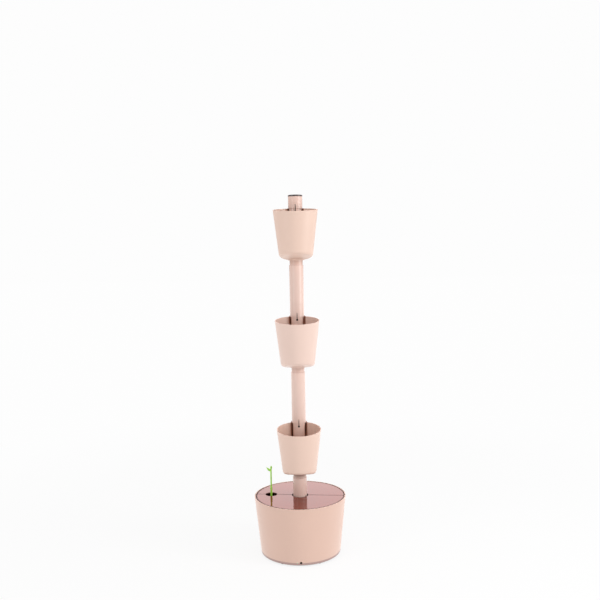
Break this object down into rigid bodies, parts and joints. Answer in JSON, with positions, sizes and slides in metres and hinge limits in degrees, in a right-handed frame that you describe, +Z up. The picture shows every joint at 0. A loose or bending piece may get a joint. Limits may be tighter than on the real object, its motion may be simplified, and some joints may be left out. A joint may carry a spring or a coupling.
{
  "type": "planter tower",
  "caption": "Self-watering planter tower: pots lean forward on a plug-together mast above a round water tank with a two-part lid and a float indicator.",
  "frame": {"origin": "on the ground, on the axis of the mast and of the round tank", "axes": "+Z up along the mast, front with the leaning pots and the power inlet towards -Y, +X to the right"},
  "size_m": [0.3533, 0.3534, 1.384],
  "materials": {
    "pot_plastic": "satin, warm sand pink",
    "tank_plastic": "satin, warm sand pink",
    "mast_plastic": "semi-gloss, warm sand pink",
    "lid_plastic": "glossy, dusty pink",
    "cap_plastic": "semi-gloss, near black",
    "dark_plastic": "matt, dark grey",
    "black_plastic": "semi-gloss, black",
    "grey_plastic": "matt, grey",
    "riser_plastic": "matt, off-white",
    "rubber": "matt",
    "screw_steel": "brushed",
    "brass": "satin",
    "light_lens": "glossy, clear green",
    "float_plastic": "matt, white foam",
    "sprout_plastic": "satin, leaf green"
  },
  "bodies": {
    "base": {"base_tank": "tank_plastic", "bottom_plate": "dark_plastic", "foot_ring": "dark_plastic", "rubber_feet": "rubber", "base_screws": "screw_steel", "control_box": "dark_plastic", "power_inlet": "black_plastic", "inlet_pin": "brass", "inlet_nut": "brass", "status_light": "light_lens", "mast_socket": "grey_plastic", "socket_screws": "screw_steel", "lead_gland": "rubber", "gland_nut": "grey_plastic", "pump_body": "black_plastic", "pump_feet": "rubber", "intake_filter": "black_plastic", "riser_pipe": "riser_plastic", "lower_tube": "mast_plastic", "float_guide": "grey_plastic"},
    "front_lid": {"front_lid_half": "lid_plastic"},
    "rear_lid": {"rear_lid_half": "lid_plastic"},
    "low_module": {"column_low": "mast_plastic", "pot_low": "pot_plastic", "nut_low": "grey_plastic", "seal_low": "rubber", "strainer_low": "grey_plastic", "riser_guide_low": "grey_plastic", "middle_tube": "mast_plastic"},
    "middle_module": {"column_middle": "mast_plastic", "pot_middle": "pot_plastic", "nut_middle": "grey_plastic", "seal_middle": "rubber", "strainer_middle": "grey_plastic", "riser_guide_middle": "grey_plastic", "upper_tube": "mast_plastic"},
    "top_module": {"column_top": "mast_plastic", "pot_top": "pot_plastic", "nut_top": "grey_plastic", "seal_top": "rubber", "strainer_top": "grey_plastic", "emitter": "grey_plastic"},
    "cap": {"top_cap": "cap_plastic"},
    "indicator": {"float_rod": "sprout_plastic", "level_float": "float_plastic", "sprout": "sprout_plastic"}
  },
  "joints": [
    {"name": "low_swivel", "type": "hinge", "parent": "base", "child": "low_module", "pos_m": [0, 0, 0.295], "axis": [0, 0, 1], "range_deg": [-38, 206]},
    {"name": "middle_swivel", "type": "hinge", "parent": "low_module", "child": "middle_module", "pos_m": [0, 0, 0.706], "axis": [0, 0, 1], "continuous": true},
    {"name": "top_swivel", "type": "hinge", "parent": "middle_module", "child": "top_module", "pos_m": [0, 0, 1.117], "axis": [0, 0, 1], "continuous": true},
    {"name": "cap_pull", "type": "slide", "parent": "top_module", "child": "cap", "axis": [0, 0, 1], "range_m": [0, 0.03]},
    {"name": "front_lid_lift", "type": "slide", "parent": "base", "child": "front_lid", "axis": [0, 0, 1], "range_m": [0, 0.06]},
    {"name": "rear_lid_lift", "type": "slide", "parent": "base", "child": "rear_lid", "axis": [0, 0, 1], "range_m": [0, 0.06]},
    {"name": "level_rise", "type": "slide", "parent": "base", "child": "indicator", "axis": [0, 0, 1], "range_m": [0, 0.11]}
  ]
}
